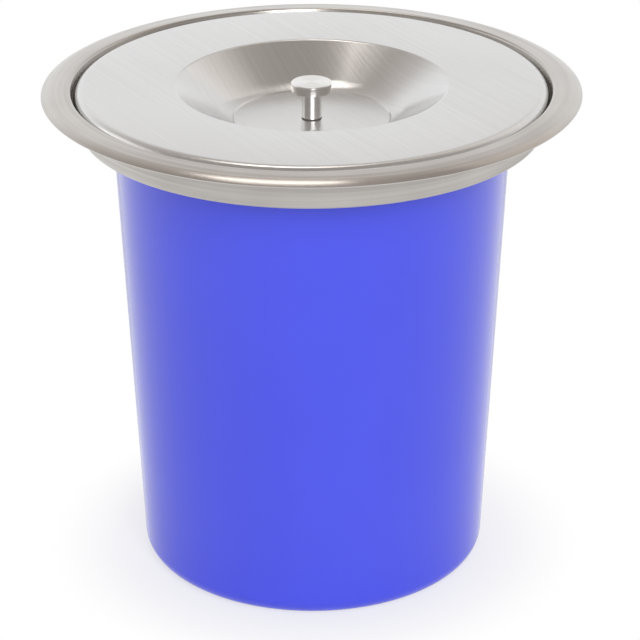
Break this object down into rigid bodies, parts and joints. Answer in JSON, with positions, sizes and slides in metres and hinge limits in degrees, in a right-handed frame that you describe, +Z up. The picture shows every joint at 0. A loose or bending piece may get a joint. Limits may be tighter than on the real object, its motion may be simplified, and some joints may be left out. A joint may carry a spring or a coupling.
{
  "type": "built-in countertop waste bin",
  "caption": "Drop-in kitchen waste bin: pressed steel ring for a round worktop cut-out, a lift-off dished lid with a knob, and a tapered plastic bucket with a bail handle.",
  "frame": {"origin": "centre of the bucket's underside, at the lowest point of the bin", "axes": "+Z up along the bin's axis of revolution; the bail lies towards -Y at rest and its pivots are on X"},
  "size_m": [0.304, 0.304, 0.2888],
  "materials": {
    "ring_steel": "satin, brushed round the ring",
    "lid_steel": "fine satin, dish brushed round its axis",
    "knob_steel": "turned, with a satin top and polished sides",
    "fastener_steel": "plain stainless",
    "wire_steel": "bright drawn wire",
    "bucket_plastic": "glossy moulded, blue",
    "grip_plastic": "satin moulded, blue",
    "seal_rubber": "matte",
    "washer_fibre": "matte"
  },
  "bodies": {
    "ring": {"trim_ring": "ring_steel", "worktop_seal": "seal_rubber"},
    "bucket": {"bucket": "bucket_plastic"},
    "lid": {"lid_shell": "lid_steel", "lid_seal": "seal_rubber", "knob": "knob_steel", "knob_washer": "washer_fibre", "screw_washer": "fastener_steel", "knob_screw": "fastener_steel"},
    "bail": {"bail": "wire_steel", "bail_grip": "grip_plastic"}
  },
  "joints": [
    {"name": "bucket_lift", "type": "slide", "parent": "ring", "child": "bucket", "axis": [0, 0, 1], "range_m": [0, 0.3]},
    {"name": "lid_lift", "type": "slide", "parent": "bucket", "child": "lid", "axis": [0, 0, 1], "range_m": [0, 0.33]},
    {"name": "bail_swing", "type": "hinge", "parent": "bucket", "child": "bail", "pos_m": [0, 0, 0.2724], "axis": [-1, 0, 0], "range_deg": [0, 180]}
  ],
  "couplings": [
    {"joint": "bail_swing", "follows": "lid_lift", "rad_per_m": 9.52}
  ]
}
